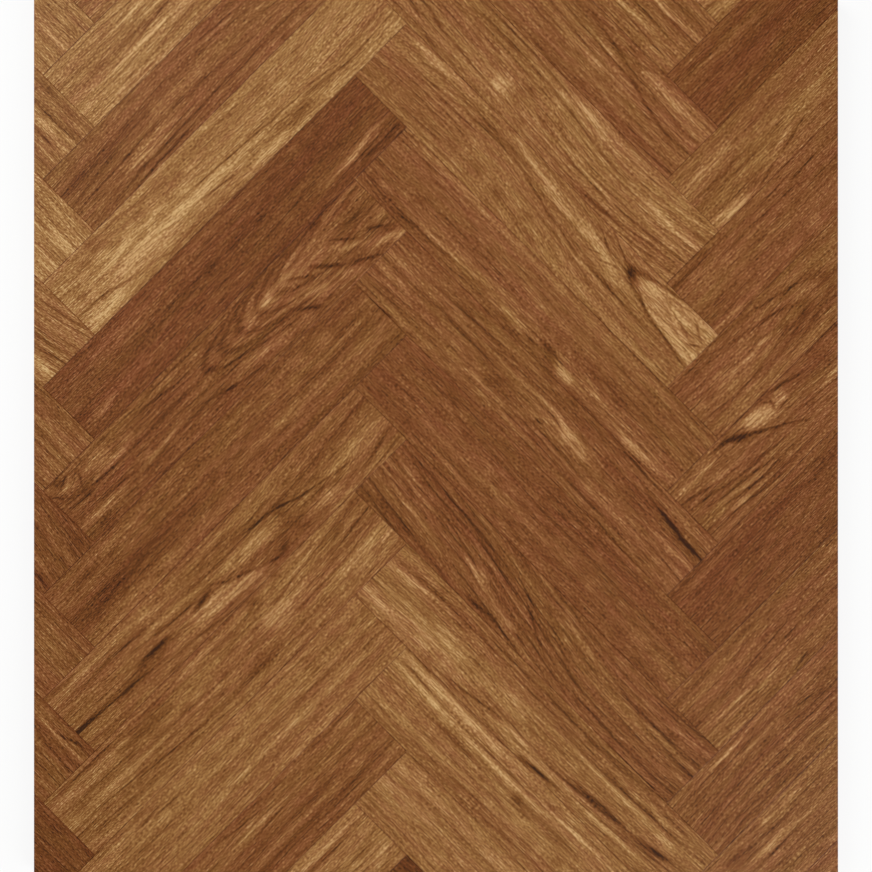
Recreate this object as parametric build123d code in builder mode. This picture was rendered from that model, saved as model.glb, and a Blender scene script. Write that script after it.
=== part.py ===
"""Herringbone parquet panel: solid teak staves, tongued and grooved on all four edges, trimmed square.

Millimetres. The origin is at the centre of the underside, +Z is up through the walking face, and +Y is the way
the zigzags run. Right-hand staves lean up to the right, and left-hand staves, their mirror image, up to the left.
Every stave has its tongues on its upper side and upper end, and its grooves on the two others, so that each
zigzag closes upwards as it is laid.
"""

import os
from collections import namedtuple
from math import ceil, sqrt

from build123d import *

# One stave, as it leaves the moulder
stave_length = 450.0
stave_width = 75.0
stave_thickness = 15.0
face_bevel = 0.5  # eased edge round the walking face
wear_depth = 5.5  # wood above the tongue
tongue_thickness = 4.5
tongue_reach = 5.0
nose_ease = 0.8  # chamfer along the tongue's nose
groove_play = 0.15  # above and below the tongue
nose_gap = 0.5  # between the tongue's nose and the bottom of the groove
back_relief = 0.4  # each lower edge stands back, so that the faces close first

# The panel that the staves are laid to and sawn to
panel_width = 820.0
panel_length = 900.0
zigzag_margin = 148.0  # from the centre line of the last zigzag to the right edge
tip_margin = 29.0  # from that zigzag's highest right-hand tip to the top edge

# Herringbone bond: staves at 45 degrees, each end against the side of its neighbour
diagonal = sqrt(0.5)
column_pitch = stave_length * diagonal  # from one zigzag of joints to the next
zigzag_reach = stave_width * diagonal / 2  # from a zigzag's centre line out to its tips
row_pitch = 2 * stave_width * diagonal  # from one stave to the next in a column

up = Vector(0, 0, 1)
up_right = Vector(diagonal, diagonal, 0)
up_left = Vector(-diagonal, diagonal, 0)


def matched_profile(face):
    """Outline across a matched board, groove at 0 and tongue at face, as (across, height) points."""
    tongue_top = stave_thickness - wear_depth
    tongue_base = tongue_top - tongue_thickness
    groove_top = tongue_top + groove_play
    groove_base = tongue_base - groove_play
    groove_depth = tongue_reach + nose_gap
    nose = face + tongue_reach
    return [
        (face_bevel, stave_thickness),
        (0, stave_thickness - face_bevel),
        (0, groove_top),
        (groove_depth, groove_top),
        (groove_depth, groove_base),
        (back_relief, groove_base),
        (back_relief, 0),
        (face - back_relief, 0),
        (face - back_relief, tongue_base),
        (nose - nose_ease, tongue_base),
        (nose, tongue_base + nose_ease),
        (nose, tongue_top - nose_ease),
        (nose - nose_ease, tongue_top),
        (face, tongue_top),
        (face, stave_thickness - face_bevel),
        (face - face_bevel, stave_thickness),
    ]


# A stave's lower corner, where its two grooves meet, is at the origin until it is laid.
# The moulding runs past both ends, and the end matching then cuts it to length.
with BuildPart() as right_hand_stave:
    with BuildSketch(Plane(origin=(0, 0, 0), x_dir=up_left, z_dir=up_left.cross(up))):
        with BuildLine():
            Polyline(*matched_profile(stave_width), close=True)
        make_face()
    extrude(amount=stave_length + 2 * tongue_reach, both=True)
    with BuildSketch(Plane(origin=(0, 0, 0), x_dir=up_right, z_dir=up_right.cross(up))):
        with BuildLine():
            Polyline(*matched_profile(stave_length), close=True)
        make_face()
    extrude(amount=stave_width + 2 * tongue_reach, both=True, mode=Mode.INTERSECT)

with BuildPart() as left_hand_stave:
    mirror(right_hand_stave.part, about=Plane.YZ)

Hand = namedtuple("Hand", "stave along across")
right_hand = Hand(right_hand_stave.part, up_right, up_left)
left_hand = Hand(left_hand_stave.part, up_left, up_right)


def reaches_panel(corner, hand):
    """Whether a stave's face laps the panel by more than a tongue, across the panel's sides and its own."""
    centre = corner + hand.along * (stave_length / 2) + hand.across * (stave_width / 2)
    stave_half = (stave_length + stave_width) * diagonal / 2
    panel_half = (panel_width + panel_length) * diagonal / 2
    laps = [
        panel_width / 2 + stave_half - abs(centre.X),
        panel_length / 2 + stave_half - abs(centre.Y),
        stave_length / 2 + panel_half - abs(centre.dot(hand.along)),
        stave_width / 2 + panel_half - abs(centre.dot(hand.across)),
    ]
    return min(laps) > tongue_reach


def laid_column(column):
    """Hand of a column, and the lower corner of each of its staves that reaches the panel, from the top down.

    Columns are counted leftwards from 0, which stands right of the last zigzag. An even column is right-hand and
    stands on the zigzag to its left, and the odd column next to it is left-hand and stands on the same zigzag.
    """
    zigzag = panel_width / 2 - zigzag_margin - column // 2 * 2 * column_pitch
    tip = panel_length / 2 - tip_margin
    if column % 2 == 0:
        hand = right_hand
        foot = Vector(zigzag + zigzag_reach, tip, 0)
    else:
        hand = left_hand
        foot = Vector(zigzag - zigzag_reach, tip + row_pitch / 2, 0)
    rows = ceil((panel_length + 2 * column_pitch) / row_pitch)
    corners = [foot - Vector(0, row * row_pitch, 0) for row in range(-rows, rows + 1)]
    return hand, [corner for corner in corners if reaches_panel(corner, hand)]


def sawn_as(corner, hand):
    """What the saw makes of a stave: an offcut at the panel's top or bottom edge, or else still a stave."""
    to_side = panel_width / 2 - corner.X if hand is right_hand else panel_width / 2 + corner.X
    height = min((stave_length + stave_width) * diagonal, to_side + row_pitch)
    if corner.Y + height > panel_length / 2:
        return "top_offcut"
    if corner.Y < -panel_length / 2:
        return "bottom_offcut"
    return "stave"


os.makedirs("parts", exist_ok=True)
most_columns = ceil((panel_width + zigzag_margin) / column_pitch) + 1
columns = [laid_column(column) for column in range(-most_columns, most_columns)]
columns = [(hand, corners) for hand, corners in columns if corners]

# Columns are numbered from the right, staves from the top down, and offcuts inwards from the edge that saws them.
for column_number, (hand, corners) in enumerate(columns, start=1):
    pieces = {"top_offcut": [], "stave": [], "bottom_offcut": []}
    for corner in corners:
        pieces[sawn_as(corner, hand)].append(corner)
    pieces["bottom_offcut"].reverse()
    for kind, places in pieces.items():
        for number, corner in enumerate(places, start=1):
            with BuildPart() as piece:
                with Locations(corner):
                    add(hand.stave)
                with BuildSketch():
                    Rectangle(panel_width, panel_length)
                extrude(amount=stave_thickness, mode=Mode.INTERSECT)
            piece.part.label = f"column_{column_number}_{kind}_{number}"
            export_step(piece.part, f"parts/{piece.part.label}.step")
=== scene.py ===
from functools import partial
from math import cos, radians, sin

import bpy
import numpy as np
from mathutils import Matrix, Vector


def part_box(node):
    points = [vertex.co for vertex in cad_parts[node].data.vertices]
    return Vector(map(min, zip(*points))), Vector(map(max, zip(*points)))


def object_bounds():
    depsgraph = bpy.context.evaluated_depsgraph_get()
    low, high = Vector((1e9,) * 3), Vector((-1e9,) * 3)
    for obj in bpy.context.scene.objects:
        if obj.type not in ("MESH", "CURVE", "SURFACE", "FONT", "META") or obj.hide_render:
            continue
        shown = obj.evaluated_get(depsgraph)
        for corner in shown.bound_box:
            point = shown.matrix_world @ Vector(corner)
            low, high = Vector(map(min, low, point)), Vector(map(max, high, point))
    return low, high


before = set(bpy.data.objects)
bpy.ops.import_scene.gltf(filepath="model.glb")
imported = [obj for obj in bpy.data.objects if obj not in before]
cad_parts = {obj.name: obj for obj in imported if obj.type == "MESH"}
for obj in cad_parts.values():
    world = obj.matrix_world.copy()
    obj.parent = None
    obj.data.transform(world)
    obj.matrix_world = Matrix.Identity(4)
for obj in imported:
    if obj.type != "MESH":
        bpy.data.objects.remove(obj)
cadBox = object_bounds()
print("frame loaded:", len(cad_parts), "staves and offcuts")


# sRGB hex to the linear colour that Blender's sockets take
def linearColour(hexColour):
    srgb = np.array([int(hexColour[i:i + 2], 16) for i in (0, 2, 4)]) / 255
    linear = np.where(srgb <= 0.04045, srgb / 12.92, ((srgb + 0.055) / 1.055) ** 2.4)
    return (*linear.tolist(), 1.0)


# Adds one node: settings by keyword, and inputs in order or by name, each a value or a socket to link.
# Returns the output that is asked for, or else the first in use.
def addNode(tree, kind, inputs=(), output=None, **settings):
    node = tree.nodes.new("ShaderNode" + kind)
    for name, value in settings.items():
        setattr(node, name, value)
    fed = inputs if isinstance(inputs, dict) else dict(enumerate(inputs))
    for key, value in fed.items():
        socket = node.inputs[key]
        if not socket.enabled:
            socket = next(s for s in node.inputs if s.enabled and s.name == key)
        if isinstance(value, bpy.types.NodeSocket):
            tree.links.new(value, socket)
        else:
            socket.default_value = value
    if output:
        return node.outputs[output]
    return next((s for s in node.outputs if s.enabled), None)


# Millimetres. A stave is read from its left end to its right, and from its lower side up.
stave = {"length": 450.0, "width": 75.0, "thickness": 15.0}
perMetre = 1000
bondAngle = radians(45)
diagonal = sin(bondAngle)
rowPitch = 2 * stave["width"] * diagonal


# Where a stave's left end meets its lower side, counted down its column from the first that isn't an offcut
def leftCorner(column, names, name):
    rightHand = column % 2 == 1
    low, high = (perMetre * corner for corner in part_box(f"column_{column}_stave_1"))
    footX = low.x + stave["width"] * diagonal if rightHand else high.x - stave["width"] * diagonal
    row = names.index(name) - names.index(f"column_{column}_stave_1")
    foot = Vector((footX, low.y - row * rowPitch))
    if not rightHand:
        foot += stave["length"] * diagonal * Vector((-1, 1))
    return foot


# A column's pieces from the top down; bottom offcuts are numbered upwards
def downColumn(column):
    def place(name):
        kind, number = name.split("_")[2], int(name.split("_")[-1])
        return ["top", "stave", "bottom"].index(kind), -number if kind == "bottom" else number
    return sorted((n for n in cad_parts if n.startswith(f"column_{column}_")), key=place)


# Teak runs from mineral black through heartwood brown to sapwood straw.
# Golden and russet boards differ in hue only.
teakTones = {
    "places": [0.0, 0.15, 0.35, 0.5, 0.65, 0.82, 1.0],
    "golden": ["381d09", "5e3511", "73451a", "86572a", "986a3a", "b48751", "d4ae77"],
    "russet": ["371908", "5d3011", "723d1a", "854d2b", "975e3a", "b37c50", "d2a472"],
}

# What a mark does to the wood: lift of tone, rings pushed aside (mm), dark outline, where its soft edge
# ends, whether fibres fray it, and whether it is open, spreading from a tip like a flame, or else oval
markKinds = {
    "pale": {"lift": 0.22, "push": 0.0, "rim": 0.0, "core": 0.05, "frayed": True, "open": False},
    "glow": {"lift": 0.14, "push": 0.0, "rim": 0.0, "core": 0.0, "frayed": True, "open": False},
    "patch": {"lift": 0.15, "push": 3.0, "rim": 0.0, "core": 0.5, "frayed": False, "open": False},
    "shade": {"lift": -0.14, "push": 0.0, "rim": 0.0, "core": 0.0, "frayed": True, "open": False},
    "line": {"lift": -0.28, "push": 0.0, "rim": 0.0, "core": 0.0, "frayed": False, "open": False},
    "mineral": {"lift": -0.5, "push": 0.0, "rim": 0.0, "core": 0.0, "frayed": False, "open": False},
    "knot": {"lift": -0.3, "push": 8.0, "rim": 0.0, "core": 0.0, "frayed": False, "open": False},
    "eye": {"lift": 0.0, "push": 12.0, "rim": 0.0, "core": 0.0, "frayed": False, "open": False},
    "flame": {"lift": 0.18, "push": 9.0, "rim": 0.26, "core": 0.8, "frayed": False, "open": True},
    "vee": {"lift": 0.05, "push": 7.0, "rim": 0.24, "core": 0.4, "frayed": False, "open": True},
}
openMark = {"fades": 0.9, "gone": 1.8, "rimSharp": 7.0}  # in half lengths from its tip

# Defaults of a stave's figure, in millimetres and steps of tone
plainFigure = {
    "tone": 0.5, "red": 0.3,
    "band": 0.26, "wide": 11.0,  # soft bands along the grain, and how wide they are
    "line": 0.24, "gap": 8.0, "cover": 0.0,  # growth lines, their spacing, and how much more of them shows
    "wobble": 5.0,
    "drift": None,  # height of the grain at the ends and quarter points
    "mottle": 0.10,
    "marks": [],  # kind, along, across, half length, half width, then turn (degrees), bend (mm) and strength
}

# By column from the right, and from the top down
staveFigures = {
    "column_1_top_offcut_1": {"tone": 0.65, "red": 0.3, "band": 0.16},
    "column_1_top_offcut_2": {
        "tone": 0.39, "red": 0.6, "band": 0.14, "line": 0.2, "gap": 5,
        "marks": [
            ("pale", 165, 5, 14, 3), ("glow", 60, 55, 80, 8), ("shade", 90, 35, 120, 8, 0, 0, 0.5),
            ("pale", 20, 3, 60, 1.5, 0, 0, 0.6),
        ],
    },
    "column_1_stave_1": {  # pale sapwood at its left end
        "tone": 0.56, "red": 0.3, "band": 0.14, "wide": 9, "line": 0.18,
        "marks": [
            ("pale", 20, 8, 34, 8, 0, 0, 1.4), ("pale", 36, 5, 40, 4), ("shade", 62, 9, 24, 8, 10, 0, 1.3),
            ("pale", 110, 20, 56, 5, 13, 0, 0.8), ("pale", 160, 33, 50, 5, 5, 0, 0.7),
            ("line", 74, 6, 22, 2.4, 10), ("line", 120, 24, 70, 2, 12), ("line", 115, 14, 60, 1.8, 12),
            ("line", 60, 29, 70, 1.8, 0, 0, 0.6), ("glow", 40, 55, 70, 10), ("shade", 40, 38, 60, 5),
            ("shade", 130, 55, 60, 6, 0, 0, 0.8),
        ],
    },
    "column_1_stave_2": {
        "tone": 0.49, "red": 0.45, "band": 0.18, "wide": 13,
        "marks": [
            ("shade", 40, 68, 90, 5), ("line", 60, 66, 80, 1.3, 2), ("glow", 30, 6, 60, 4),
            ("line", 190, 62, 40, 1.5, 4), ("line", 150, 65, 60, 1.3, 4),
            ("shade", 150, 20, 120, 6, 0, 0, 0.5),
        ],
    },
    "column_1_stave_3": {  # cathedral figure, open to the left
        "tone": 0.48, "red": 0.52, "band": 0.18, "wide": 6, "line": 0.24, "gap": 6,
        "marks": [
            ("vee", 160, 36, -90, 24, 0, 0, 0.6), ("vee", 130, 34, -70, 14, 0, 0, 0.6),
            ("vee", 200, 38, -120, 34, 0, 0, 0.5), ("pale", 55, 48, 60, 5, -6, 0, 0.7),
            ("pale", 60, 38, 50, 5, -2, 0, 0.7), ("pale", 112, 38, 20, 4, -4, 0, 0.8),
            ("pale", 170, 44, 30, 4, -8, 0, 0.7), ("pale", 195, 33, 26, 4, 0, 0, 0.7),
            ("line", 110, 55, 90, 1.8, -12, 0, 0.7), ("line", 140, 62, 70, 1.8, -14, 0, 0.7),
            ("line", 60, 20, 70, 1.8, 4, 0, 0.7), ("pale", 60, 14, 70, 4, 0, 0, 0.7),
            ("shade", 140, 28, 50, 9),
        ],
    },
    "column_1_stave_4": {  # mineral streak beside a pale patch
        "tone": 0.48, "red": 0.48, "band": 0.2, "wide": 6, "line": 0.28, "gap": 7,
        "drift": [4, 2, -6, -8, -8],
        "marks": [
            ("glow", 125, 60, 50, 18, -8, 0, 0.6), ("patch", 121, 61, 27, 12, -14, 0, 1.5),
            ("patch", 150, 61, 10, 9, 0, 0, 1.3), ("pale", 126, 62, 40, 12, -14, 0, 0.3),
            ("mineral", 90, 61, 22, 6, -30, 0, 1.1), ("mineral", 112, 50, 32, 3.4, -29, 0, 0.9),
            ("mineral", 138, 35, 28, 2.2, -32, 0, 0.6), ("line", 74, 69, 22, 4.5, -8),
            ("line", 139, 62, 12, 2, 78), ("line", 147, 54, 10, 2, 8), ("line", 135, 68, 10, 2, -50),
            ("mineral", 168, 68, 40, 3.4, -14, 0, 0.6), ("shade", 200, 58, 50, 8),
            ("line", 90, 31, 80, 2.6, -6), ("mineral", 95, 33, 30, 2.2, -8, 0, 0.5),
            ("pale", 45, 15, 50, 5, -6), ("pale", 55, 24, 50, 4, -6), ("line", 60, 28, 80, 2, -8),
            ("line", 60, 19, 70, 2, -8), ("line", 70, 8, 70, 2, -6), ("pale", 205, 40, 40, 7, 12),
            ("line", 20, 50, 40, 2.2, -12), ("pale", 30, 62, 50, 5, 0, 0, 0.7),
            ("line", 30, 40, 60, 2, -10), ("pale", 60, 46, 40, 4, -10, 0, 0.7),
        ],
    },
    "column_1_stave_5": {  # plain dark heartwood
        "tone": 0.39, "red": 0.6, "band": 0.14, "wide": 13, "line": 0.2,
        "marks": [
            ("glow", 40, 64, 50, 5), ("glow", 140, 68, 60, 3, 0, 0, 0.6),
            ("glow", 180, 60, 30, 5, 0, 0, 0.5), ("shade", 100, 45, 40, 10, 0, 0, 0.5),
        ],
    },
    "column_1_stave_6": {
        "tone": 0.47, "red": 0.4, "band": 0.22, "wide": 9,
        "marks": [
            ("pale", 40, 24, 50, 3), ("pale", 45, 18, 50, 2), ("pale", 92, 19, 24, 6, 8),
            ("line", 40, 13, 50, 1.5, -2), ("line", 126, 7, 18, 2.2, 10), ("pale", 30, 5, 40, 3),
            ("shade", 70, 37, 40, 4), ("line", 110, 42, 60, 1.3, 4), ("glow", 60, 60, 80, 10, 0, 0, 0.5),
        ],
    },
    "column_1_stave_7": {
        "tone": 0.47, "red": 0.42, "band": 0.24, "wide": 6, "line": 0.28, "gap": 6, "cover": 0.06,
        "drift": [-2, 3, 0, -6, -12],
        "marks": [
            ("line", 40, 37, 55, 1.6, 0, -2), ("shade", 110, 8, 140, 9), ("pale", 90, 57, 80, 2.5),
            ("pale", 80, 68, 40, 3), ("line", 170, 50, 40, 1.5, -10),
        ],
    },
    "column_1_bottom_offcut_2": {
        "tone": 0.51, "red": 0.35, "band": 0.2, "wide": 8, "line": 0.2,
        "marks": [
            ("pale", 125, 45, 40, 5, 0, 3), ("line", 130, 56, 60, 2, -2, 4),
            ("line", 125, 38, 60, 2.2, 0, 3), ("pale", 150, 66, 60, 4, -3), ("shade", 85, 60, 20, 8),
            ("line", 180, 60, 40, 1.4), ("shade", 150, 5, 20, 5),
        ],
    },
    "column_1_bottom_offcut_1": {"tone": 0.54, "red": 0.4},

    "column_2_top_offcut_1": {
        "tone": 0.56, "red": 0.4, "band": 0.2, "wide": 7,
        "marks": [
            ("line", 400, 29, 60, 1.6, -2), ("line", 400, 14, 60, 1.6, -4), ("pale", 380, 20, 40, 3),
            ("shade", 420, 60, 50, 10), ("pale", 390, 45, 40, 3),
        ],
    },
    "column_2_top_offcut_2": {
        "tone": 0.53, "red": 0.4, "band": 0.24, "wide": 7, "line": 0.26, "gap": 7,
        "marks": [
            ("shade", 281, 65, 26, 7), ("shade", 277, 68, 12, 3), ("line", 330, 57, 60, 2.4, -10),
            ("mineral", 372, 42, 50, 3, -15, 3, 0.6), ("line", 410, 33, 40, 2.2, -3),
            ("flame", 345, 60, 70, 13, 2, 0, 0.5), ("line", 250, 45, 70, 1.6, -6),
            ("line", 300, 50, 90, 1.6, -4), ("glow", 390, 62, 60, 8), ("pale", 310, 52, 40, 3, -5),
            ("pale", 330, 36, 80, 4, 0, 0, 0.7), ("line", 240, 33, 60, 1.5),
        ],
    },
    "column_2_top_offcut_3": {
        "tone": 0.62, "red": 0.28, "band": 0.24, "wide": 6, "line": 0.3, "gap": 7, "cover": 0.08,
        "drift": [10, 6, 0, -9, 4],
        "marks": [
            ("pale", 186, 28, 16, 11, 30), ("pale", 180, 18, 26, 4), ("knot", 212, 40, 15, 7, 0, 0, 0.8),
            ("shade", 214, 20, 24, 9, -20), ("knot", 108, 5, 16, 6, 0, 0, 0.8),
            ("line", 80, 27, 60, 2.4, -12), ("line", 60, 20, 60, 2.4, -14), ("line", 140, 18, 70, 1.8, -5),
            ("mineral", 345, 4, 70, 2.4, 3, 3, 0.7), ("line", 300, 19, 90, 2, -6, 5),
            ("line", 395, 22, 80, 2, 7), ("line", 400, 13, 70, 2, 8), ("line", 410, 6, 60, 1.8, 9),
            ("line", 420, 17, 50, 1.5, 8), ("pale", 310, 22, 80, 4, -6), ("pale", 420, 30, 50, 4, 6),
            ("glow", 300, 62, 150, 10), ("pale", 270, 66, 36, 5), ("pale", 400, 45, 70, 6),
            ("shade", 150, 60, 90, 8),
        ],
    },
    "column_2_stave_1": {  # pale leaf beyond a knot
        "tone": 0.59, "red": 0.24, "band": 0.16, "wide": 9, "line": 0.24, "gap": 9, "wobble": 3,
        "drift": [5, 13, 4, -11, -12],
        "marks": [
            ("pale", 42, 67, 40, 6), ("glow", 70, 70, 80, 6), ("line", 60, 50, 80, 1.8, 3),
            ("line", 140, 55, 60, 2.6, 0, -2), ("line", 215, 46, 60, 2.4, -13),
            ("line", 272, 34, 50, 2, -14), ("line", 340, 29, 80, 1.6, -2), ("shade", 140, 58, 50, 6),
            ("shade", 205, 51, 50, 4, -11), ("line", 110, 46, 60, 1.2, 3), ("pale", 235, 56, 80, 6, -9),
            ("pale", 300, 52, 50, 8, -14), ("pale", 190, 66, 60, 4, -6), ("line", 318, 66, 40, 2, -24),
            ("line", 322, 48, 36, 2, 22), ("line", 300, 61, 36, 1.6, -22), ("line", 302, 46, 30, 1.5, 20),
            ("flame", 340, 57, 100, 25, -2), ("flame", 388, 60, 80, 16, -8, 0, 0.3),
            ("knot", 342, 57, 12, 7, -40), ("line", 366, 46, 34, 2.4, -28), ("line", 420, 33, 50, 2, -6),
            ("line", 410, 56, 30, 2.2, -16), ("line", 432, 63, 20, 2.2, -30),
            ("line", 440, 50, 14, 2.2, 30), ("shade", 434, 57, 24, 10, 0, 0, 1.3),
            ("line", 395, 68, 30, 1.8, 10), ("pale", 310, 27, 70, 4, -4), ("glow", 320, 40, 50, 9),
            ("shade", 80, 25, 160, 20, 0, 0, 0.5),
        ],
    },
    "column_2_stave_2": {  # sapwood along its lower side
        "tone": 0.5, "red": 0.45, "band": 0.18, "wide": 12,
        "marks": [
            ("glow", 120, 70, 220, 6), ("pale", 110, 14, 90, 4, 0, 0, 0.9),
            ("pale", 205, 13, 44, 5, 0, 0, 0.9), ("shade", 264, 14, 18, 14, 0, 0, 1.6),
            ("pale", 292, 10, 22, 9, 0, 0, 1.4), ("pale", 400, 8, 66, 6, 0, 0, 1.4),
            ("pale", 330, 18, 24, 6, 0, 0, 0.6), ("shade", 45, 8, 80, 10, 0, 0, 1.3),
            ("shade", 330, 34, 140, 12, 0, 0, 0.8), ("line", 60, 10, 70, 1.8, 0, 0, 0.6),
        ],
    },
    "column_2_stave_3": {  # pale swoosh, and a dark streak at its right end
        "tone": 0.48, "red": 0.5, "band": 0.22, "wide": 7, "line": 0.26, "drift": [-4, 0, 4, 0, -2],
        "marks": [
            ("patch", 272, 43, 32, 9, -10, 0, 1.2), ("glow", 260, 41, 90, 15),
            ("pale", 205, 50, 60, 4, 4, 0, 0.8), ("pale", 245, 51, 40, 4, -8, 0, 0.8),
            ("pale", 32, 31, 50, 7, 0, 0, 0.8), ("pale", 20, 45, 40, 5, 0, 0, 0.7),
            ("shade", 172, 31, 46, 13, 0, 0, 1.4), ("line", 140, 41, 60, 2.4, 2), ("shade", 110, 60, 70, 8),
            ("knot", 232, 33, 10, 5, 20), ("pale", 240, 38, 12, 5),
            ("mineral", 408, 53, 66, 3.4, -5, 3, 1.1), ("mineral", 436, 49, 44, 3, 0, 0, 0.6),
            ("pale", 425, 36, 60, 6, 0, 0, 0.8), ("pale", 400, 68, 80, 3, -4), ("line", 350, 71, 90, 2, -3),
            ("shade", 260, 66, 120, 8), ("pale", 150, 18, 110, 4, 0, 0, 0.6),
            ("pale", 350, 22, 90, 5, 0, 0, 0.6), ("line", 300, 10, 90, 1.8),
            ("pale", 100, 55, 50, 4, 0, 0, 0.6),
        ],
    },
    "column_2_stave_4": {
        "tone": 0.42, "red": 0.55, "band": 0.14, "wide": 13, "line": 0.18,
        "marks": [
            ("pale", 120, 11, 60, 1.5, -2), ("pale", 150, 8, 60, 1.2, -1), ("glow", 400, 22, 90, 11),
            ("glow", 210, 26, 200, 10, 0, 0, 0.9), ("glow", 100, 24, 120, 5, 0, 0, 0.6),
            ("pale", 30, 12, 30, 3, 0, 0, 0.5),
        ],
    },
    "column_2_stave_5": {  # growth lines in one long sweep
        "tone": 0.46, "red": 0.48, "band": 0.24, "wide": 6, "line": 0.32, "gap": 9, "cover": 0.12,
        "wobble": 3, "drift": [24, 13, -6, -18, -11],
        "marks": [
            ("pale", 25, 53, 44, 4, -9), ("pale", 50, 44, 46, 4, -9),
            ("patch", 178, 22, 56, 7, -14, 0, 1.2), ("pale", 140, 31, 50, 4, -11),
            ("pale", 262, 57, 44, 4, -12), ("pale", 300, 51, 50, 3, -8),
            ("mineral", 168, 5, 22, 3.6, 4, 0, 0.7), ("shade", 185, 6, 40, 6),
            ("line", 60, 57, 80, 2.2, -6), ("line", 160, 47, 60, 2.4, -12),
            ("line", 225, 33, 44, 2.4, -26, 0), ("line", 285, 22, 50, 2.2, -8, 3),
            ("line", 380, 21, 80, 2, 3, 2), ("line", 100, 61, 90, 1.8, -6), ("line", 210, 46, 50, 1.8, -18),
            ("line", 270, 33, 50, 1.8, -10, 2), ("line", 110, 41, 60, 2, -12),
            ("line", 350, 11, 90, 1.8, 2, 2), ("line", 400, 66, 80, 1.8), ("line", 380, 46, 90, 1.6),
            ("pale", 60, 26, 60, 4, -10), ("pale", 400, 42, 90, 3, 1), ("pale", 390, 14, 70, 3, 4),
            ("shade", 40, 10, 70, 10), ("shade", 440, 38, 40, 8),
        ],
    },
    "column_2_bottom_offcut_4": {  # dark streaks at its right end
        "tone": 0.58, "red": 0.2, "band": 0.2, "wide": 7, "line": 0.26, "gap": 7, "drift": [0, 5, 0, 4, 10],
        "marks": [
            ("pale", 20, 12, 50, 9, 0, 0, 0.8), ("glow", 80, 22, 120, 22),
            ("pale", 30, 52, 70, 6, 4, 0, 0.8), ("patch", 104, 37, 34, 10, 0, 0, 0.9),
            ("patch", 185, 33, 40, 11, 0, 0, 0.9), ("pale", 215, 14, 60, 5, 4), ("pale", 265, 11, 80, 6, 4),
            ("mineral", 258, 4, 40, 4.4, 4, 0, 1.1), ("mineral", 332, 25, 66, 5, 3, 0, 1.0),
            ("line", 290, 19, 70, 2.4, 4), ("mineral", 402, 31, 44, 5, 10, 0, 1.0),
            ("line", 385, 22, 60, 2.2, 8), ("shade", 178, 15, 30, 8), ("line", 150, 11, 70, 2.4, 8),
            ("pale", 350, 11, 80, 5, 3), ("shade", 250, 68, 230, 8), ("pale", 330, 46, 90, 4, 0, 0, 0.8),
            ("pale", 400, 46, 24, 6), ("line", 330, 52, 110, 2, 2), ("line", 100, 60, 130, 2, 1),
            ("line", 230, 57, 130, 1.8), ("line", 200, 66, 170, 1.8),
        ],
    },
    "column_2_bottom_offcut_3": {  # flecks across the grain
        "tone": 0.62, "red": 0.12, "band": 0.16, "wide": 9, "mottle": 0.2,
        "marks": [
            ("pale", 80, 68, 120, 6, 0, 0, 1.2), ("pale", 50, 53, 90, 8), ("pale", 160, 53, 90, 5),
            ("line", 30, 61, 50, 2.6, -4, 2, 1.2), ("line", 140, 59, 120, 2.2, 0, 0, 1.1),
            ("line", 190, 46, 9, 9, 0, 0, 0.9), ("shade", 200, 44, 24, 9),
            ("shade", 140, 10, 200, 14, 0, 0, 0.8), ("pale", 260, 61, 70, 4),
            ("shade", 250, 46, 50, 6, 0, 0, 1.2), ("line", 34, 48, 3, 26, 4, 0, 0.35),
            ("line", 50, 45, 3, 24, -3, 0, 0.3), ("line", 70, 50, 3.5, 24, 3, 0, 0.35),
            ("line", 92, 56, 3, 20, 0, 0, 0.3), ("line", 112, 62, 3, 12, 0, 0, 0.3),
            ("shade", 110, 42, 60, 6),
        ],
    },
    "column_2_bottom_offcut_2": {"tone": 0.62, "red": 0.2, "band": 0.2},
    "column_2_bottom_offcut_1": {"tone": 0.22, "red": 0.4},

    "column_3_top_offcut_1": {"tone": 0.53, "red": 0.25, "band": 0.14},
    "column_3_top_offcut_2": {
        "tone": 0.67, "red": 0.12, "band": 0.22, "wide": 8,
        "marks": [
            ("glow", 90, 26, 130, 8), ("shade", 60, 52, 110, 9), ("pale", 110, 58, 55, 2.5),
            ("pale", 140, 45, 40, 2), ("pale", 100, 27, 80, 3), ("shade", 100, 38, 90, 4),
            ("pale", 60, 8, 60, 3),
        ],
    },
    "column_3_top_offcut_3": {
        "tone": 0.49, "red": 0.38, "band": 0.16, "wide": 8, "line": 0.2, "gap": 9,
        "drift": [-4, 2, 4, 1, -5],
        "marks": [
            ("pale", 100, 26, 80, 6, 3, 0, 1.1), ("pale", 95, 18, 60, 5, 2, 0, 1.2),
            ("line", 60, 29, 110, 2, 4), ("line", 130, 19, 90, 1.8, 3), ("line", 150, 13, 130, 2, 2),
            ("line", 225, 62, 70, 1.8, -5, 0, 0.7), ("pale", 230, 58, 70, 3, -5, 0, 0.6),
            ("shade", 40, 50, 110, 12), ("line", 110, 4, 80, 2.2, 4), ("line", 260, 14, 90, 1.8, 2),
            ("glow", 160, 42, 90, 10),
        ],
    },
    "column_3_top_offcut_4": {  # the palest long board
        "tone": 0.69, "red": 0.08, "band": 0.16, "wide": 9, "line": 0.14, "mottle": 0.2,
        "drift": [10, 4, 0, -4, -2],
        "marks": [
            ("shade", 220, 62, 320, 20, 0, 0, 0.6), ("pale", 150, 28, 130, 10, -2),
            ("glow", 90, 20, 120, 16), ("pale", 30, 9, 50, 9), ("pale", 80, 42, 70, 5, 2),
            ("line", 240, 31, 140, 2, -4), ("line", 60, 17, 80, 2.6, -12, 3),
            ("line", 200, 17, 80, 2.4, -9), ("line", 120, 26, 60, 1.6, -8), ("line", 345, 25, 50, 2.4, -8),
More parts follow.
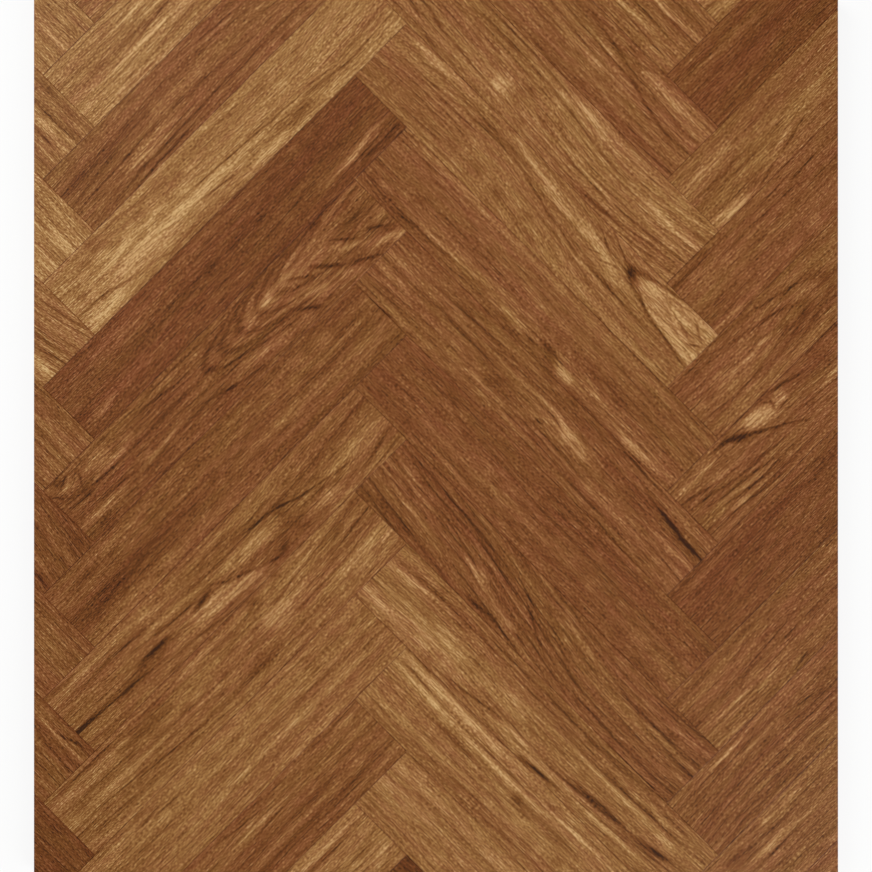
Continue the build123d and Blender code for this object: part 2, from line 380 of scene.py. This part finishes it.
            ("line", 360, 17, 55, 2.6, -8), ("line", 395, 15, 60, 2.4, 4), ("line", 400, 25, 60, 1.6, 3),
            ("shade", 305, 13, 60, 13, 0, 0, 1.5), ("shade", 150, 6, 120, 7), ("pale", 262, 8, 50, 6),
            ("shade", 18, 40, 7, 16, 0, 0, 1.2), ("shade", 36, 20, 6, 16), ("line", 20, 24, 40, 1.6, -4),
        ],
    },
    "column_3_stave_1": {  # plain dark heartwood
        "tone": 0.36, "red": 0.6, "band": 0.14, "wide": 12, "line": 0.14, "gap": 5,
        "marks": [
            ("glow", 95, 58, 90, 12), ("glow", 250, 66, 130, 7, 0, 0, 0.8),
            ("glow", 400, 19, 84, 12, 3, 0, 1.4), ("pale", 400, 20, 65, 5, 5, 0, 0.8),
            ("line", 425, 8, 50, 3), ("pale", 28, 17, 36, 6, 8, 0, 0.9), ("glow", 70, 22, 80, 8),
            ("shade", 220, 42, 300, 10, 0, 0, 0.4), ("line", 400, 13, 60, 1.8, 4),
            ("line", 300, 24, 90, 1.6, 4, 0, 0.6),
        ],
    },
    "column_3_stave_2": {  # feather figure, and an eye at its left end
        "tone": 0.44, "red": 0.48, "band": 0.24, "wide": 5, "line": 0.26, "gap": 6, "wobble": 7,
        "marks": [
            ("vee", 205, 45, 70, 24), ("vee", 232, 46, 70, 25), ("vee", 257, 48, 70, 26),
            ("vee", 284, 49, 70, 24), ("vee", 312, 50, 70, 22), ("pale", 300, 50, 40, 6),
            ("pale", 268, 44, 26, 5), ("pale", 335, 59, 56, 5, 12), ("line", 325, 15, 22, 3.6, -36, 0, 1.4),
            ("line", 369, 31, 26, 3.6, -41, 0, 1.3), ("line", 404, 8, 26, 3.4, -26, 0, 1.3),
            ("line", 432, 25, 24, 3.4, -33, 0, 1.3), ("line", 397, 41, 26, 2.4, -35),
            ("line", 340, 42, 24, 2.4, -32), ("pale", 345, 20, 28, 11, -30, 0, 1.1),
            ("pale", 378, 12, 26, 9, -28, 0, 1.1), ("pale", 432, 9, 34, 8, -22, 0, 1.2),
            ("pale", 400, 30, 26, 7, -34), ("pale", 445, 34, 16, 9), ("pale", 260, 16, 76, 8, -6),
            ("line", 230, 25, 70, 2.2, -4), ("line", 215, 12, 60, 2.6, -14, 4),
            ("line", 290, 27, 40, 2.4, -12), ("eye", 18, 60, 30, 17), ("pale", 18, 62, 14, 8),
            ("line", 22, 67, 16, 2.4, 24), ("line", 7, 58, 13, 2.4, -50), ("line", 36, 57, 13, 2.4, 60),
            ("line", 24, 48, 28, 2.4, -4, 5), ("line", 30, 39, 44, 2.2, -4, 6, 0.8),
            ("pale", 62, 60, 36, 9), ("pale", 75, 48, 40, 7), ("line", 48, 43, 50, 2.4, -6),
            ("line", 60, 24, 80, 2.2, -3), ("line", 80, 15, 80, 2.2, -2), ("pale", 40, 17, 60, 5, -4),
            ("shade", 140, 42, 60, 15, 0, 0, 1.2), ("pale", 120, 22, 50, 4), ("line", 150, 60, 60, 2, -8),
            ("pale", 165, 66, 40, 4), ("shade", 420, 48, 40, 12), ("shade", 15, 8, 30, 8),
        ],
    },
    "column_3_stave_3": {
        "tone": 0.43, "red": 0.4, "band": 0.18, "wide": 9, "line": 0.18,
        "marks": [
            ("pale", 370, 44, 110, 2.4), ("glow", 110, 9, 180, 10, 0, 0, 1.2),
            ("shade", 60, 33, 140, 15, 0, 0, 1.5), ("shade", 45, 58, 40, 8, 0, 0, 1.2),
            ("shade", 420, 50, 40, 6), ("line", 350, 38, 110, 2, 0, 0, 0.8), ("glow", 320, 28, 160, 10),
            ("pale", 30, 4, 50, 4, 0, 0, 0.9), ("glow", 300, 60, 120, 8, 0, 0, 0.7),
        ],
    },
    "column_3_stave_4": {  # pale patches between dark streaks
        "tone": 0.51, "red": 0.3, "band": 0.18, "wide": 7, "line": 0.24, "drift": [6, 2, -2, 0, 6],
        "marks": [
            ("mineral", 12, 25, 46, 4.6, -2, 0, 1.1), ("mineral", 72, 20, 66, 2.6, -5, 0, 0.7),
            ("mineral", 115, 29, 36, 5, -1, 0, 1.2), ("mineral", 186, 31, 26, 4.6, 10, 0, 1.1),
            ("shade", 80, 20, 56, 11, 0, 0, 1.3), ("line", 150, 38, 66, 2.4, -6),
            ("line", 212, 31, 20, 2.6, -34), ("line", 240, 19, 38, 2.8, -20, 2),
            ("line", 268, 9, 20, 2.6, -12), ("glow", 195, 19, 96, 20, -3, 0, 0.7),
            ("patch", 210, 17, 62, 10, -8, 0, 1.1), ("glow", 258, 36, 66, 14, -6, 0, 0.6),
            ("patch", 255, 36, 48, 11, -4, 0, 0.8), ("line", 175, 5, 76, 2.4, -7),
            ("line", 284, 48, 48, 3, -8, -3), ("line", 320, 40, 44, 2.4, -18),
            ("shade", 306, 36, 10, 20, 0, 0, 1.3), ("knot", 284, 9, 18, 8, 30, 0, 0.8),
            ("shade", 292, 15, 50, 14, 10, 0, 1.2), ("shade", 325, 8, 40, 9),
            ("glow", 352, 18, 34, 12, 0, 0, 1.4), ("glow", 405, 32, 66, 12, 0, 0, 1.4),
            ("line", 350, 33, 76, 2.2, -12, 4), ("line", 420, 15, 40, 3.2, 10), ("shade", 440, 8, 26, 9),
            ("pale", 130, 62, 60, 6, -8, 0, 0.8), ("pale", 60, 66, 70, 4, 0, 0, 0.7),
            ("shade", 70, 54, 80, 5), ("pale", 290, 60, 50, 5, 0, 0, 0.6),
            ("pale", 150, 47, 60, 5, -4, 0, 0.8), ("line", 110, 52, 70, 2, -5),
        ],
    },
    "column_3_stave_5": {
        "tone": 0.54, "red": 0.24, "band": 0.24, "wide": 7, "line": 0.22, "drift": [6, 0, -4, -2, 4],
        "marks": [
            ("glow", 335, 44, 60, 15, 8, 0, 0.9), ("patch", 304, 42, 28, 17, 8, 0, 0.9),
            ("shade", 298, 69, 22, 10, 40, 0, 1.3), ("pale", 205, 65, 40, 7, 0, 0, 0.8),
            ("pale", 30, 64, 60, 4, 0, 0, 0.7), ("pale", 85, 60, 50, 4, 0, 0, 0.7),
            ("shade", 125, 54, 70, 10, 0, 0, 1.3), ("shade", 262, 18, 44, 9, 0, 0, 1.2),
            ("pale", 370, 62, 60, 6, 8, 0, 0.7), ("line", 350, 57, 80, 2, 8), ("line", 420, 50, 50, 1.8, 6),
            ("line", 130, 20, 70, 2, -4), ("line", 60, 14, 70, 1.8, -4), ("glow", 60, 35, 80, 10),
            ("glow", 410, 22, 80, 18), ("line", 70, 28, 80, 2, -4), ("shade", 420, 64, 50, 7, 8),
            ("line", 170, 68, 70, 1.6), ("line", 60, 70, 70, 1.6),
        ],
    },
    "column_3_bottom_offcut_3": {
        "tone": 0.59, "red": 0.18, "band": 0.14, "wide": 10,
        "marks": [
            ("line", 165, 59, 34, 1.8), ("line", 135, 62, 30, 1.2), ("shade", 310, 38, 200, 4),
            ("glow", 300, 27, 200, 5), ("glow", 330, 50, 150, 8, 0, 0, 0.5),
            ("shade", 280, 18, 140, 4, 0, 0, 0.6),
        ],
    },
    "column_3_bottom_offcut_2": {
        "tone": 0.49, "red": 0.4, "band": 0.26, "wide": 8,
        "marks": [
            ("pale", 290, 54, 70, 4), ("pale", 280, 60, 60, 2), ("line", 290, 47, 70, 1.5, 2),
            ("line", 270, 66, 60, 1.6, -6), ("line", 320, 70, 50, 2, -5), ("shade", 330, 15, 140, 12),
            ("pale", 430, 65, 30, 4), ("shade", 350, 35, 80, 5),
        ],
    },
    "column_3_bottom_offcut_1": {
        "tone": 0.64, "red": 0.15,
        "marks": [
            ("line", 400, 57, 45, 1.8), ("line", 415, 35, 35, 1.8), ("pale", 400, 65, 50, 3),
            ("glow", 430, 20, 20, 8),
        ],
    },

    "column_4_top_offcut_1": {
        "tone": 0.64, "red": 0.12, "band": 0.18, "wide": 8,
        "marks": [
            ("line", 430, 50, 40, 1.2), ("pale", 430, 35, 40, 3),
        ],
    },
    "column_4_stave_1": {
        "tone": 0.6, "red": 0.25, "band": 0.16, "wide": 7,
        "marks": [
            ("shade", 400, 68, 60, 6), ("pale", 412, 42, 30, 4), ("line", 410, 50, 50, 2),
            ("line", 420, 30, 26, 2.4), ("pale", 430, 20, 20, 4), ("shade", 440, 55, 20, 6),
        ],
    },
    "column_4_stave_2": {
        "tone": 0.71, "red": 0.08,
        "marks": [
            ("line", 400, 54, 30, 2, -8), ("line", 400, 66, 40, 1.5, -4), ("line", 430, 62, 30, 1.3, -6),
            ("pale", 435, 45, 30, 8), ("shade", 385, 60, 20, 8), ("line", 440, 30, 20, 1.2),
        ],
    },
    "column_4_stave_3": {
        "tone": 0.6, "red": 0.28, "band": 0.24, "wide": 6, "line": 0.3, "gap": 6, "cover": 0.1,
        "drift": [0, 0, 0, -10, 6],
        "marks": [
            ("pale", 432, 14, 30, 9, 10), ("line", 415, 34, 40, 2, 12), ("line", 425, 26, 36, 1.8, 14),
        ],
    },
    "column_4_stave_4": {"tone": 0.52, "red": 0.38, "band": 0.2, "wide": 6, "line": 0.26, "gap": 6},
    "column_4_stave_5": {
        "tone": 0.4, "red": 0.55, "band": 0.18, "gap": 6, "drift": [0, 0, 0, 8, -4],
        "marks": [
            ("pale", 425, 22, 26, 4, -10), ("line", 440, 10, 20, 3, -8), ("shade", 435, 65, 20, 8),
        ],
    },
    "column_4_stave_6": {"tone": 0.49, "red": 0.32, "line": 0.28, "gap": 5, "cover": 0.1},
    "column_4_stave_7": {
        "tone": 0.44, "red": 0.4,
        "marks": [
            ("mineral", 424, 64, 24, 2.6, 16, 0, 0.6), ("shade", 440, 68, 20, 5), ("pale", 400, 57, 40, 4),
            ("pale", 440, 58, 20, 3), ("line", 425, 44, 50, 2, -2),
        ],
    },
    "column_4_bottom_offcut_1": {"tone": 0.34, "red": 0.55, "gap": 8},
}

# Patterns common to all boards: millimetres along and across the grain, detail, whether it lies flat in the
# rings or runs through the wood, and what a full swing moves (mm) or tints, unless the stave's figure says.
# Real teak fibres are 0.1 to 0.2 mm wide; they are drawn at 1 mm, as fine as the render can show.
grainPatterns = {
    "wobble": {"long": 150.0, "wide": 45.0, "detail": 1.0, "flat": False},
    "ragged": {"long": 40.0, "wide": 9.0, "detail": 2.0, "flat": False, "by": 4.0},
    "feather": {"long": 45.0, "wide": 1.8, "detail": 1.0, "flat": False, "by": 28.0},
    "broken": {"long": 36.0, "wide": 2.4, "detail": 1.0, "flat": False, "by": 1.4},
    "mottle": {"long": 22.0, "wide": 9.0, "detail": 1.0, "flat": False},
    "streak": {"long": 60.0, "wide": 2.6, "detail": 1.0, "flat": False, "by": 0.24},
    "fibre": {"long": 18.0, "wide": 1.0, "detail": 1.0, "flat": False},
    "pore": {"long": 3.0, "wide": 1.0, "detail": 0.0, "flat": False},
    "tint": {"long": 30.0, "wide": 6.0, "detail": 1.0, "flat": False, "by": 1.2},
    "hue": {"long": 260.0, "wide": 22.0, "detail": 0.0, "flat": True, "by": 0.8},
    "band": {"long": 400.0, "detail": 3.0, "flat": True},
    "phase": {"long": 300.0, "wide": 45.0, "detail": 0.0, "flat": True, "by": 3.0},
    "mask": {"long": 120.0, "wide": 13.0, "detail": 0.0, "flat": True},
}
noiseRoughness = 0.55
boardShift = {"along": 977.0, "across": 131.0, "up": 53.0, "fibres": 29.0}  # from one board to the next (mm)
pith = {"aside": 240.0, "below": 30.0}  # the tree's middle, beside the stave and under its face (mm)
lateWood = {"sharp": 5.0, "hidden": -0.12, "full": 0.14}
driftRange = 100.0  # millimetres that the grain's curve spans

# The finish: painted shade darkens and reddens the eased edges where the staves meet. The underside is left
# raw.
oilFinish = {
    "fibreTone": 0.9, "poreTone": 0.78,
    "edge": 1.0, "jointShadeTone": -0.11, "jointShadeRed": 0.3,
    "rough": 0.42, "fibreRough": 0.15, "poreRough": -0.25,
    "bump": 0.3, "bumpDepth": 0.0003,
    "ior": 1.46, "specular": 0.2,
    "rawBelow": 0.2, "rawTone": 0.16, "rawRough": 0.35,
}


# How far a point is inside a mark, from 0 to 1, and the mark's dark outline where it has one.
# Distance is from its middle, in its half length and half width; an open mark is a parabola about its tip.
def markMask(add, does, space, middle, halfLong, halfWide, turn, bend):
    lengthwise = Vector((cos(radians(turn)), sin(radians(turn)), 0)) / halfLong
    crosswise = Vector((-sin(radians(turn)), cos(radians(turn)), 0)) / halfWide
    centre = Vector((lengthwise.dot(middle), crosswise.dot(middle), 0))
    x = add("VectorMath", (space, lengthwise), output="Value", operation="DOT_PRODUCT")
    y = add("VectorMath", (space, crosswise), output="Value", operation="DOT_PRODUCT")
    if bend or does["open"]:
        ahead = add("Math", (x, centre.x), operation="SUBTRACT")
    if bend:
        squared = add("Math", (ahead, ahead), operation="MULTIPLY")
        y = add("Math", (squared, -bend / halfWide, y), operation="MULTIPLY_ADD")
    if does["open"]:
        aside = add("Math", (y, centre.y), operation="SUBTRACT")
        spread = add("Math", (aside, aside, 1.0), operation="MULTIPLY_ADD")
        away = add("Math", (spread, ahead), operation="SUBTRACT")
        fade = add("MapRange", {"Value": ahead, "From Min": openMark["gone"], "From Max": openMark["fades"]})
    else:
        away = add("VectorMath", (add("CombineXYZ", (x, y)), centre), output="Value", operation="DISTANCE")
        fade = 1.0
    inside = add("MapRange", {"Value": away, "From Min": 1.0, "From Max": does["core"], "To Max": fade},
                 interpolation_type="SMOOTHSTEP")
    rim = None
    if does["rim"]:
        off = add("Math", (add("Math", (away, 1.0), operation="SUBTRACT"),), operation="ABSOLUTE")
        rim = add("Math", (off, -openMark["rimSharp"], 1.0), operation="MULTIPLY_ADD")
        rim = add("Math", (add("Math", (rim, 0.0), operation="MAXIMUM"), fade), operation="MULTIPLY")
    return inside, rim


# Height of the grain along a stave: a smooth curve through its ends and quarter points
def grainDrift(add, along, heights):
    curve = add("FloatCurve", {"Value": add("Math", (along, stave["length"]), operation="DIVIDE")})
    points = curve.node.mapping.curves[0].points
    last = len(heights) - 1
    for i, height in enumerate(heights):
        spot = (i / last, 0.5 + height / driftRange)
        if i in (0, last):
            points[0 if i == 0 else -1].location = spot
        else:
            points.new(*spot)
    curve.node.mapping.update()
    return add("Math", (curve, driftRange, -driftRange / 2), operation="MULTIPLY_ADD")


# Colour of a tone in one cast of teak
def toneColour(add, tone, cast):
    ramp = add("ValToRGB", (tone,))
    stops = ramp.node.color_ramp.elements
    last = len(teakTones["places"]) - 1
    for i, (spot, hexColour) in enumerate(zip(teakTones["places"], teakTones[cast])):
        if i in (0, last):
            stop = stops[0 if i == 0 else -1]
            stop.position = spot
        else:
            stop = stops.new(spot)
        stop.color = linearColour(hexColour)
    return ramp


# Oiled sawn teak: solid wood with its rings about a pith, so that faces, ends and sawn sides agree.
# It gives the eye soft bands, thin growth lines, fine fibres and pores under a satin oil finish.
def oiledTeak(name, figure, corner, rightHand, seed):
    figure = {**plainFigure, **figure}
    material = bpy.data.materials.new(f"oiled sawn teak {name}")
    material.use_nodes = True
    tree = material.node_tree
    tree.nodes.clear()
    add = partial(addNode, tree)

    # a grain pattern as a swing either side of nought, times what it moves or tints, added onto a value
    def swing(space, pattern, onto=0.0, by=1.0):
        spec = {"wide": figure["wide"], "by": by, **grainPatterns[pattern]}
        scale = (1 / spec["long"], 1 / spec["wide"], 1 / spec["wide"])
        scaled = add("VectorMath", (space, scale), operation="MULTIPLY")
        noise = add("TexNoise", {"Vector": scaled, "Scale": 1.0, "Detail": spec["detail"],
                                 "Roughness": noiseRoughness},
                    noise_dimensions="2D" if spec["flat"] else "3D")
        centred = add("Math", (noise, 0.5), operation="SUBTRACT")
        return add("Math", (centred, spec["by"], onto), operation="MULTIPLY_ADD")

    # along, across and up from the left corner, in millimetres
    side = 1 if rightHand else -1
    start = (-(corner.x + side * corner.y) * diagonal, -(corner.y - side * corner.x) * diagonal, 0)
    place = add("TexCoord", output="Object")
    local = add("Mapping", {"Vector": place, "Location": start, "Rotation": (0, 0, -side * bondAngle),
                            "Scale": (perMetre, perMetre, perMetre)}, vector_type="POINT")
    shift = seed * Vector((boardShift["along"], boardShift["across"], boardShift["up"]))
    seeded = add("VectorMath", (local, shift), operation="ADD")
    along, across, up = add("SeparateXYZ", (local,)).node.outputs

    # slow wobble of the grain, ragged sides of marks, and the feathered ends that fibres give a soft mark
    sway = swing(seeded, "wobble", by=2 * figure["wobble"])
    swayed = add("Math", (sway, 0.5, across), operation="MULTIPLY_ADD")
    swayed = swing(seeded, "ragged", swayed)
    smooth = add("CombineXYZ", (along, swayed))
    frayed = add("CombineXYZ", (swing(seeded, "feather", along), swayed))

    lifts, pushes = [], []
    for kind, markAlong, markAcross, halfLong, halfWide, *rest in figure["marks"]:
        turn, bend, strength = (*rest, *(0, 0, 1)[len(rest):])
        does = markKinds[kind]
        space = frayed if does["frayed"] else smooth
        middle = Vector((markAlong, markAcross, 0))
        inside, rim = markMask(add, does, space, middle, halfLong, halfWide, turn, bend)
        if does["lift"]:
            lifts.append((inside, does["lift"] * strength))
        if does["push"]:
            pushes.append((inside, does["push"] * strength))
        if does["rim"]:
            lifts.append((rim, -does["rim"] * strength))

    # growth rings: distance from the pith, pushed aside by knots and flames
    grain = add("Math", (across, sway), operation="ADD")
    if figure["drift"]:
        grain = add("Math", (grain, grainDrift(add, along, figure["drift"])), operation="SUBTRACT")
    outward = add("Math", (grain, pith["aside"]), operation="ADD")
    deep = add("Math", (up, pith["below"] - stave["thickness"]), operation="ADD")
    ring = add("VectorMath", (add("CombineXYZ", (outward, deep)),), output="Value", operation="LENGTH")
    for inside, push in pushes:
        ring = add("Math", (inside, push, ring), operation="MULTIPLY_ADD")
    ringAlong = add("Math", (along, seed * boardShift["along"]), operation="ADD")
    ringSpace = add("CombineXYZ", (ringAlong, ring))

    # soft bands, and growth lines: dark late wood with one sharp edge, fading in and out along the board
    tone = swing(ringSpace, "band", figure["tone"], 2 * figure["band"])
    phase = swing(ringSpace, "phase", add("Math", (ring, figure["gap"]), operation="DIVIDE"))
    late = add("Math", (add("Math", (phase,), operation="FRACT"), lateWood["sharp"]), operation="POWER")
    shown = add("MapRange", {"Value": swing(ringSpace, "mask"),
                             "From Min": lateWood["hidden"] - figure["cover"],
                             "From Max": lateWood["full"] - figure["cover"]},
                interpolation_type="SMOOTHSTEP")
    late = add("Math", (late, shown), operation="MULTIPLY")
    tone = add("Math", (late, -figure["line"], tone), operation="MULTIPLY_ADD")

    # fibres and pores run with the grain, and break up the marks
    layer = add("Math", (up, seed * boardShift["fibres"]), operation="ADD")
    grainSpace = add("CombineXYZ", (along, grain, layer))
    fibre = swing(grainSpace, "fibre")
    pores = swing(grainSpace, "pore")
    tone = swing(grainSpace, "streak", tone)
    tone = add("Math", (fibre, oilFinish["fibreTone"], tone), operation="MULTIPLY_ADD")
    tone = add("Math", (pores, oilFinish["poreTone"], tone), operation="MULTIPLY_ADD")
    tone = swing(seeded, "mottle", tone, figure["mottle"])
    marked = 0.0
    for inside, lift in lifts:
        marked = add("Math", (inside, lift, marked), operation="MULTIPLY_ADD")
    if lifts:
        tone = add("Math", (marked, swing(grainSpace, "broken", 1.0), tone), operation="MULTIPLY_ADD")

    # painted shade of the joints, along the eased edges and end grain
    fromRight = add("Math", (stave["length"], along), operation="SUBTRACT")
    fromTop = add("Math", (stave["width"], across), operation="SUBTRACT")
    fromEnd = add("Math", (along, fromRight), operation="MINIMUM")
    fromSide = add("Math", (across, fromTop), operation="MINIMUM")
    fromEdge = add("Math", (fromEnd, fromSide), operation="MINIMUM")
    edge = add("MapRange", {"Value": fromEdge, "From Min": oilFinish["edge"], "From Max": 0.0},
               interpolation_type="SMOOTHSTEP")
    # painted joint shade: the tone darkens within a millimetre of every edge
    tone = add("Math", (edge, oilFinish["jointShadeTone"], tone), operation="MULTIPLY_ADD")
    hue = swing(seeded, "tint", swing(ringSpace, "hue", figure["red"]))
    # the painted joint shade is also redder
    hue = add("Math", (edge, oilFinish["jointShadeRed"], hue), operation="MULTIPLY_ADD")

    # raw underside, paler and dull
    raw = add("Math", (up, oilFinish["rawBelow"]), operation="LESS_THAN")
    tone = add("Math", (raw, oilFinish["rawTone"], tone), operation="MULTIPLY_ADD")
    golden = toneColour(add, tone, "golden")
    russet = toneColour(add, tone, "russet")
    colour = add("Mix", {0: hue, "A": golden, "B": russet}, data_type="RGBA")

    # satin oil: pores are duller than the dense late wood
    rough = add("Math", (fibre, oilFinish["fibreRough"], oilFinish["rough"]), operation="MULTIPLY_ADD")
    rough = add("Math", (pores, oilFinish["poreRough"], rough), operation="MULTIPLY_ADD")
    rough = add("Math", (raw, oilFinish["rawRough"], rough), operation="MULTIPLY_ADD")
    normal = add("Bump", {"Strength": oilFinish["bump"], "Distance": oilFinish["bumpDepth"],
                          "Height": swing(local, "pore")})
    shader = add("BsdfPrincipled", {"Base Color": colour, "Roughness": rough, "Normal": normal,
                                    "IOR": oilFinish["ior"], "Specular IOR Level": oilFinish["specular"]})
    add("OutputMaterial", {"Surface": shader})
    return material


seed = 0
for column in (1, 2, 3, 4):
    names = downColumn(column)
    for name in names:
        seed += 1
        wood = oiledTeak(name, staveFigures[name], leftCorner(column, names, name), column % 2 == 1, seed)
        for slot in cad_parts[name].material_slots:
            slot.material = wood
    print("column", column, "dressed:", len(names), "pieces")

# Floor: a flat square at the underside of the panel, in metres
floorSpec = {"half": 8.0, "under": 0.0003, "colour": "f4f4f2", "white": 0.86}
edges = np.array([-floorSpec["half"], floorSpec["half"]])
gridX, gridY = np.meshgrid(edges, edges)
corners = np.stack([gridX, gridY, np.full_like(gridX, -floorSpec["under"])], -1).reshape(-1, 3)
floorMesh = bpy.data.meshes.new("floor")
floorMesh.from_pydata(corners.tolist(), [], [(0, 1, 3, 2)])
floor = bpy.data.objects.new("floor", floorMesh)
bpy.context.scene.collection.objects.link(floor)

# White studio paper: it is seen as white, but not under the panel, and still takes the panel's shadow
paper = bpy.data.materials.new("white studio paper")
paper.use_nodes = True
paper.node_tree.nodes.clear()
addPaper = partial(addNode, paper.node_tree)
matt = addPaper("BsdfDiffuse", {"Color": linearColour(floorSpec["colour"])})
glow = addPaper("Emission", {"Color": linearColour("ffffff"), "Strength": 1.0})
ray = addPaper("LightPath").node.outputs
seen = addPaper("Math", (ray["Is Camera Ray"], ray["Is Glossy Ray"]), operation="MAXIMUM")
seen = addPaper("Math", (seen, ray["Is Transmission Ray"]), operation="MAXIMUM")
past = addPaper("VectorMath", (addPaper("TexCoord", output="Object"),), operation="ABSOLUTE")
past = addPaper("VectorMath", (past, cadBox[1]), operation="SUBTRACT")
pastX, pastY, pastZ = addPaper("SeparateXYZ", (past,)).node.outputs
clear = addPaper("Math", (pastX, pastY), operation="MAXIMUM")
clear = addPaper("Math", (clear, 0.0), operation="GREATER_THAN")
seen = addPaper("Math", (seen, clear), operation="MULTIPLY")
share = addPaper("Math", (seen, floorSpec["white"]), operation="MULTIPLY")
addPaper("OutputMaterial", {"Surface": addPaper("MixShader", (share, matt, glow))})
paper.cycles.emission_sampling = "NONE"
floorMesh.materials.append(paper)

# Soft studio light: two large lamps over opposite corners, in metres and watts, and a pale room
studio = {
    "room": 0.32,
    "keyLamp": {"place": (-2.9, 2.5, 2.0), "size": 2.4, "power": 152.0},
    "fillLamp": {"place": (2.9, -2.5, 2.0), "size": 2.4, "power": 126.0},
}
world = bpy.data.worlds.new("pale room")
world.use_nodes = True
background = world.node_tree.nodes["Background"]
background.inputs["Color"].default_value = linearColour("ffffff")
background.inputs["Strength"].default_value = studio["room"]
bpy.context.scene.world = world
for name in ("keyLamp", "fillLamp"):
    lampData = bpy.data.lights.new(name, "AREA")
    lampData.size = studio[name]["size"]
    lampData.energy = studio[name]["power"]
    lamp = bpy.data.objects.new(name, lampData)
    lamp.location = studio[name]["place"]
    lamp.rotation_euler = (-lamp.location).to_track_quat("-Z", "Y").to_euler()
    bpy.context.scene.collection.objects.link(lamp)
print("floor and light set")

# Camera: straight down over the panel's middle, so that its 820 mm fill 804 of the picture's 872 pixels
view = {"lens": 50.0, "sensor": 36.0, "picture": 872, "panelPixels": 804}
pixelsPerMetre = view["panelPixels"] / (cadBox[1][0] - cadBox[0][0])
distance = view["picture"] * view["lens"] / view["sensor"] / pixelsPerMetre
cameraData = bpy.data.cameras.new("camera")
cameraData.lens = view["lens"]
cameraData.sensor_width = view["sensor"]
camera = bpy.data.objects.new("camera", cameraData)
camera.location = (0, 0, cadBox[1][2] + distance)
bpy.context.scene.collection.objects.link(camera)
bpy.context.scene.camera = camera
bpy.context.scene.view_settings.view_transform = "Standard"
print("camera", round(distance, 3), "m above the walking face")
